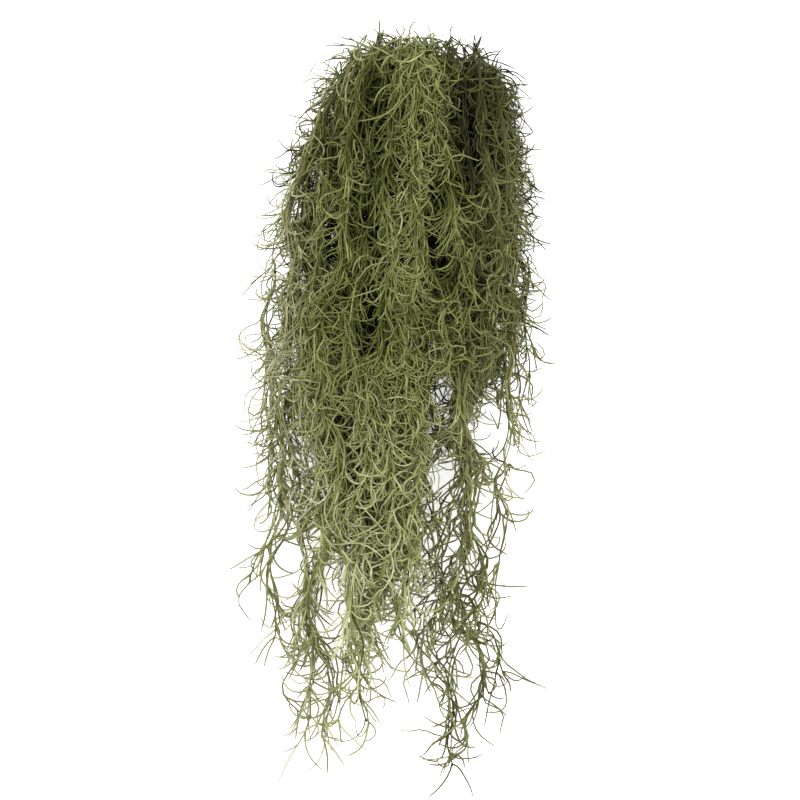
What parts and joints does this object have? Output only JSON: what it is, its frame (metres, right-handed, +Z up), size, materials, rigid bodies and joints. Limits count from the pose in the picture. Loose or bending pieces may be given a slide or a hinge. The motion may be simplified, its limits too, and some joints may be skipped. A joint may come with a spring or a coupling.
{
  "type": "spanish moss bunch",
  "caption": "Long bunch of Spanish moss, lying down: thin zigzag stems in rope-like locks, bent over at the crown, with stars of curved needle leaves and loose tips in a broad and a slim tail.",
  "frame": {"origin": "the middle of the bunch's footprint, on the surface that it lies on", "axes": "+Y along the bunch towards its crown, where the strands are bent over; +Z up from the surface; +X to the right when the bunch is seen from above with its crown away from the viewer"},
  "size_m": [0.3363, 0.772, 0.1309],
  "materials": {
    "moss_bright": "matte, fresh yellowish green needle leaves",
    "moss_olive": "matte, dull olive green needle leaves",
    "moss_shaded": "matte, dark olive inner leaves",
    "moss_pale": "matte, pale grey green needle leaves"
  },
  "bodies": {
    "root": {"under_lock_1": "moss_pale", "under_lock_2": "moss_pale", "under_lock_3": "moss_olive", "under_lock_4": "moss_olive", "under_lock_5": "moss_olive", "under_lock_6": "moss_olive", "under_lock_7": "moss_olive", "under_lock_8": "moss_olive", "under_lock_9": "moss_olive", "lower_lock_1": "moss_pale", "lower_lock_2": "moss_pale", "lower_lock_3": "moss_olive", "lower_lock_4": "moss_olive", "lower_lock_5": "moss_olive", "lower_lock_6": "moss_olive", "lower_lock_7": "moss_olive", "lower_lock_8": "moss_olive", "inner_lock_1": "moss_shaded", "inner_lock_2": "moss_shaded", "inner_lock_3": "moss_shaded", "inner_lock_4": "moss_shaded", "inner_lock_5": "moss_shaded", "inner_lock_6": "moss_shaded", "upper_lock_1": "moss_pale", "upper_lock_2": "moss_pale", "upper_lock_3": "moss_bright", "upper_lock_4": "moss_bright", "upper_lock_5": "moss_bright", "upper_lock_6": "moss_olive", "upper_lock_7": "moss_shaded", "upper_lock_8": "moss_shaded", "top_lock_1": "moss_pale", "top_lock_2": "moss_pale", "top_lock_3": "moss_pale", "top_lock_4": "moss_bright", "top_lock_5": "moss_bright", "top_lock_6": "moss_bright", "top_lock_7": "moss_olive", "top_lock_8": "moss_shaded", "top_lock_9": "moss_shaded", "top_lock_10": "moss_shaded", "loose_strand_1": "moss_pale", "loose_strand_2": "moss_pale", "loose_strand_3": "moss_bright", "loose_strand_4": "moss_shaded", "loose_strand_5": "moss_shaded", "loose_strand_6": "moss_shaded"}
  },
  "joints": []
}
